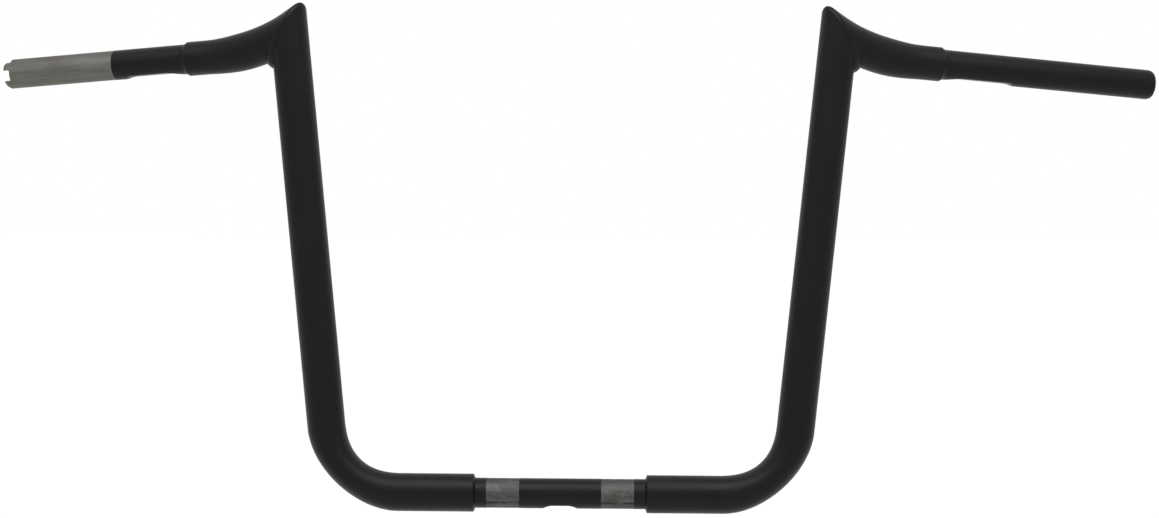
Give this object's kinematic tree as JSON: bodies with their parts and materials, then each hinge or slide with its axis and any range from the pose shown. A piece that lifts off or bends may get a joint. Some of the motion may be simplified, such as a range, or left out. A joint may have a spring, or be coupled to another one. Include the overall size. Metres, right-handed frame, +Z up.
{
  "type": "ape hanger handlebar",
  "caption": "Tall motorcycle handlebar with leaning risers, pointed mitred corners and swept-back grip tubes, welded from steel tube in satin black with bare clamp bands and throttle end.",
  "frame": {"origin": "middle of the clamp tube, on its axis, midway between the two bare clamp bands", "axes": "+X along the clamp tube to the rider's left, +Y to the rear of the motorcycle, +Z up, with both risers standing in the XZ plane"},
  "size_m": [1.0063, 0.0997, 0.4333],
  "materials": {
    "powder_coat": "satin black powder coat",
    "bare_steel": "turned and linished, uncoated"
  },
  "bodies": {
    "root": {"clamp_tube": "powder_coat", "left_riser": "powder_coat", "right_riser": "powder_coat", "left_horn": "powder_coat", "right_horn": "powder_coat", "left_grip_tube": "powder_coat", "throttle_grip_tube": "bare_steel", "left_mitre_weld": "powder_coat", "right_mitre_weld": "powder_coat", "left_shoulder_weld": "powder_coat", "right_shoulder_weld": "powder_coat", "left_collar_weld": "powder_coat", "right_collar_weld": "powder_coat"}
  },
  "joints": []
}
